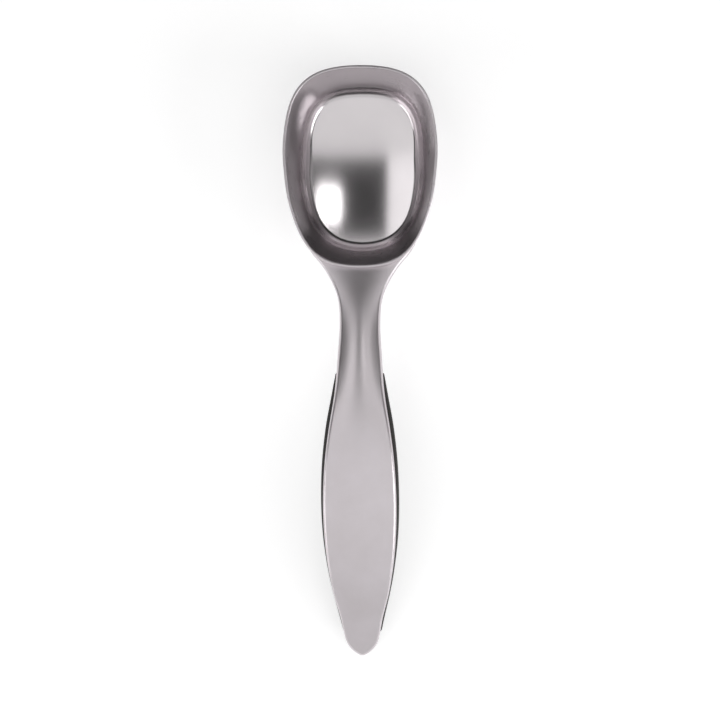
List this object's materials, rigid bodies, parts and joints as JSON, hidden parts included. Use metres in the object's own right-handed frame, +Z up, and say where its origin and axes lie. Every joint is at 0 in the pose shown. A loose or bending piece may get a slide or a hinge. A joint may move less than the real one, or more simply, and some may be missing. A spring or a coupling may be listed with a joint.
{
  "type": "ice scoop",
  "caption": "Small bar ice scoop: deep rounded steel bowl with a level rim, arched neck and a broad steel-topped handle with a soft grip underneath",
  "frame": {"origin": "centre of the bounding box in X and Y, on the table plane that the bowl's foot and the heel of the grip rest on", "axes": "+Z up out of the bowl, +Y from the handle's tip towards the bowl, +X to the right when seen from above with the bowl at the top; the rim is level"},
  "size_m": [0.06, 0.2306, 0.0361],
  "materials": {
    "bowl_steel": "drawn stainless sheet, satin wall and a smoother floor",
    "handle_steel": "pressed stainless sheet, fine satin grain along the handle",
    "grip_rubber": "black thermoplastic elastomer, fine matt texture",
    "core_nylon": "black glass-filled nylon as moulded",
    "fastener_steel": "plain stainless fasteners"
  },
  "bodies": {
    "root": {"bowl": "bowl_steel", "handle_shell": "handle_steel", "neck_underside_shell": "handle_steel", "soft_grip": "grip_rubber", "handle_core": "core_nylon", "weld_studs": "fastener_steel", "core_screws": "fastener_steel", "washers": "fastener_steel"}
  },
  "joints": []
}
